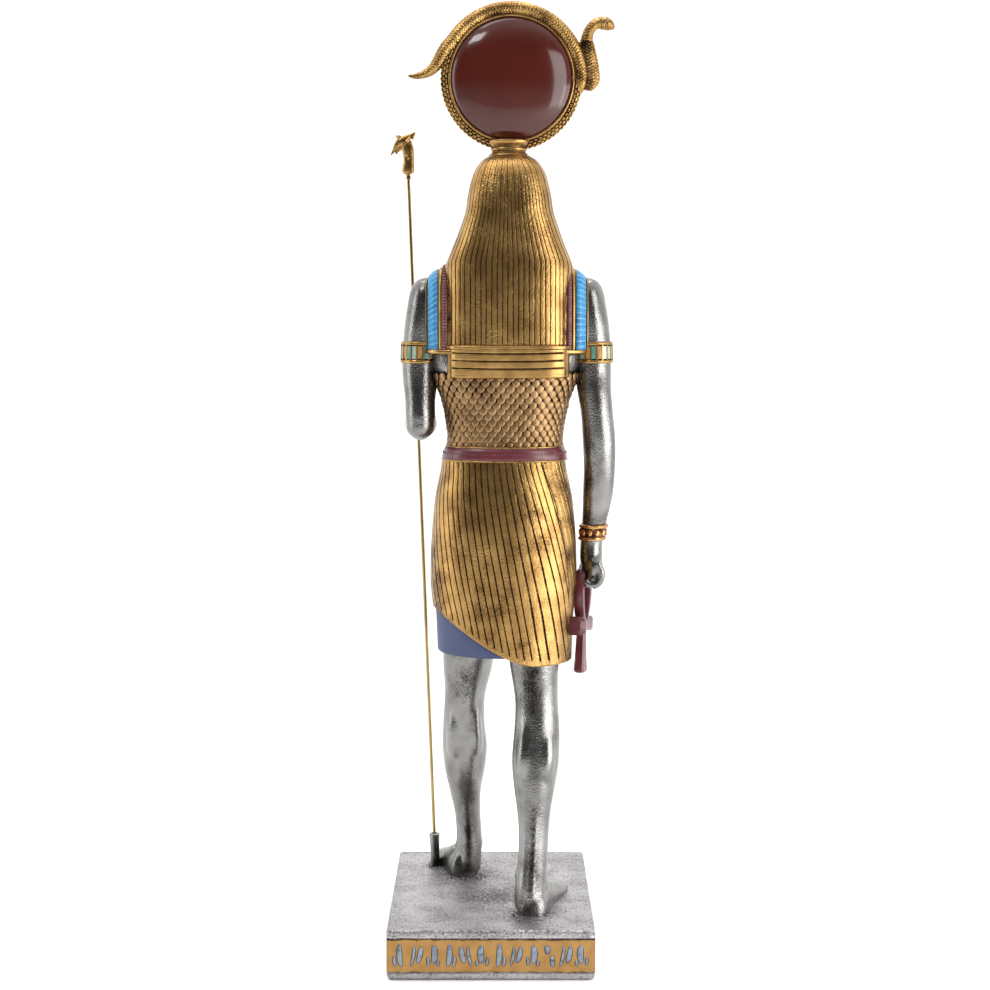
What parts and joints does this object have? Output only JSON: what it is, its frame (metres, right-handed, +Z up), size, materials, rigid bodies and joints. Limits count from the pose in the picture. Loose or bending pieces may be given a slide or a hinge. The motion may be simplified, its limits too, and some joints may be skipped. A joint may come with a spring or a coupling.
{
  "type": "ra statue",
  "caption": "Standing falcon-headed sun god figurine on a rectangular plinth, striding, with a sun disc headdress, a tall thin sceptre in one hand and an ankh in the other.",
  "frame": {"origin": "middle of the plinth's underside", "axes": "+Z up; the figure faces -Y; its own left hand, with the sceptre, is on the +X side"},
  "size_m": [0.073, 0.081, 0.2997],
  "materials": {
    "pewter_skin": "dark pewter metallic paint with a fine grain, rubbed bright on the high places",
    "antique_gold": "antique gold metallic paint with dark brown wash in the grooves",
    "maroon_gloss": "deep maroon lacquer, glossy",
    "turquoise_paint": "turquoise enamel-like paint, satin",
    "slate_blue_paint": "slate blue matt paint",
    "amber_paint": "amber gold paint, satin",
    "copper_gold": "reddish gold metallic paint, semi-gloss",
    "rod_brass": "drawn brass wire, slightly tarnished"
  },
  "bodies": {
    "root": {"statue": "pewter_skin", "staff_rod": "rod_brass", "staff_head": "antique_gold"}
  },
  "joints": []
}
